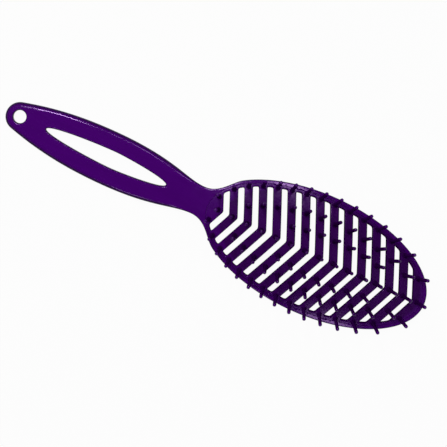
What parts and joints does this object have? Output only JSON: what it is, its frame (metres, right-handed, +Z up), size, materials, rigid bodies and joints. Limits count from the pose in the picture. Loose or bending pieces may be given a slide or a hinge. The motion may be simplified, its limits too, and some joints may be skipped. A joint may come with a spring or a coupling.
{
  "type": "oval vent brush",
  "caption": "Oval vent hair brush: stiff handle frame with a hanging hole and a long window, and an arched lattice of chevron ribs with moulded pins set in its hoop",
  "frame": {"origin": "middle of the brush's bounding box, on the surface that the brush lies on", "axes": "+X runs from the handle's end to the head's tip, +Y across the brush, +Z up, the way the pins point"},
  "size_m": [0.2398, 0.0654, 0.0285],
  "materials": {
    "handle_frame": "glossy dark purple injection-moulded plastic, coloured through",
    "pin_lattice": "the same dark purple in a slightly softer, springy moulded plastic, satin to glossy"
  },
  "bodies": {
    "root": {"handle_frame": "handle_frame", "pin_lattice": "pin_lattice"}
  },
  "joints": []
}
